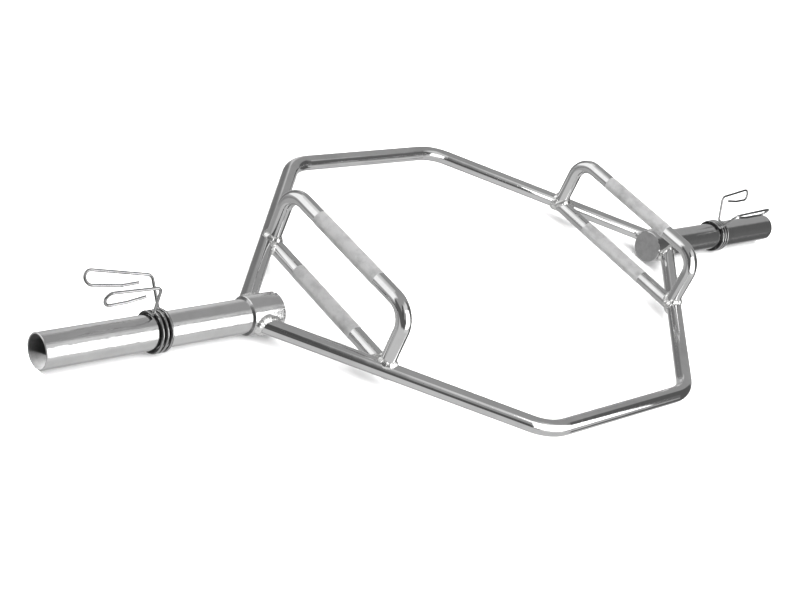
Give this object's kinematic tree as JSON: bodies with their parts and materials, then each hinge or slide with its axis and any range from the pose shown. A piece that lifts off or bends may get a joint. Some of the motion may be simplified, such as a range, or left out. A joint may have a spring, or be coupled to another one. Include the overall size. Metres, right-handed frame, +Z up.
{
  "type": "hex trap bar",
  "caption": "Six-sided chromed steel lifting bar with plate sleeves, low and raised knurled handles and sliding spring collars.",
  "frame": {"origin": "on the floor under the middle of the bar", "axes": "+X along the sleeves to the right, -Y the front, +Z up, with the raised handles on top"},
  "size_m": [1.644, 0.7024, 0.1434],
  "materials": {
    "chromed_steel": "bright decorative chrome on steel bar and tube",
    "grip_steel": "satin knurled grips with bright chrome ends",
    "weld_bead": "rippled weld beads, chromed over",
    "spring_wire": "chromed spring wire"
  },
  "bodies": {
    "bar": {"front_frame_bar": "chromed_steel", "rear_frame_bar": "chromed_steel", "left_hub": "chromed_steel", "left_hub_plug": "chromed_steel", "left_sleeve": "chromed_steel", "left_low_handle": "grip_steel", "left_high_handle": "grip_steel", "left_hub_welds": "weld_bead", "left_low_handle_welds": "weld_bead", "left_high_handle_welds": "weld_bead", "right_hub": "chromed_steel", "right_hub_plug": "chromed_steel", "right_sleeve": "chromed_steel", "right_low_handle": "grip_steel", "right_high_handle": "grip_steel", "right_hub_welds": "weld_bead", "right_low_handle_welds": "weld_bead", "right_high_handle_welds": "weld_bead"},
    "left_collar": {"left_collar_coil": "spring_wire", "left_collar_inner_arm": "spring_wire"},
    "left_collar_lever": {"left_collar_outer_arm": "spring_wire"},
    "right_collar": {"right_collar_coil": "spring_wire", "right_collar_inner_arm": "spring_wire"},
    "right_collar_lever": {"right_collar_outer_arm": "spring_wire"}
  },
  "joints": [
    {"name": "left_collar_slide", "type": "slide", "parent": "bar", "child": "left_collar", "axis": [-1, 0, 0], "range_m": [-0.134, 0.2]},
    {"name": "left_collar_squeeze", "type": "hinge", "parent": "left_collar", "child": "left_collar_lever", "pos_m": [-0.633, 0, 0.0304], "axis": [-1, 0, 0], "range_deg": [0, 35], "stiffness_Nm_per_rad": 8, "springref_deg": -5.73, "deforming": ["left_collar_coil"]},
    {"name": "right_collar_slide", "type": "slide", "parent": "bar", "child": "right_collar", "axis": [1, 0, 0], "range_m": [-0.141, 0.192]},
    {"name": "right_collar_squeeze", "type": "hinge", "parent": "right_collar", "child": "right_collar_lever", "pos_m": [0.64, 0, 0.0304], "axis": [1, 0, 0], "range_deg": [0, 35], "stiffness_Nm_per_rad": 8, "springref_deg": -5.73, "deforming": ["right_collar_coil"]}
  ]
}
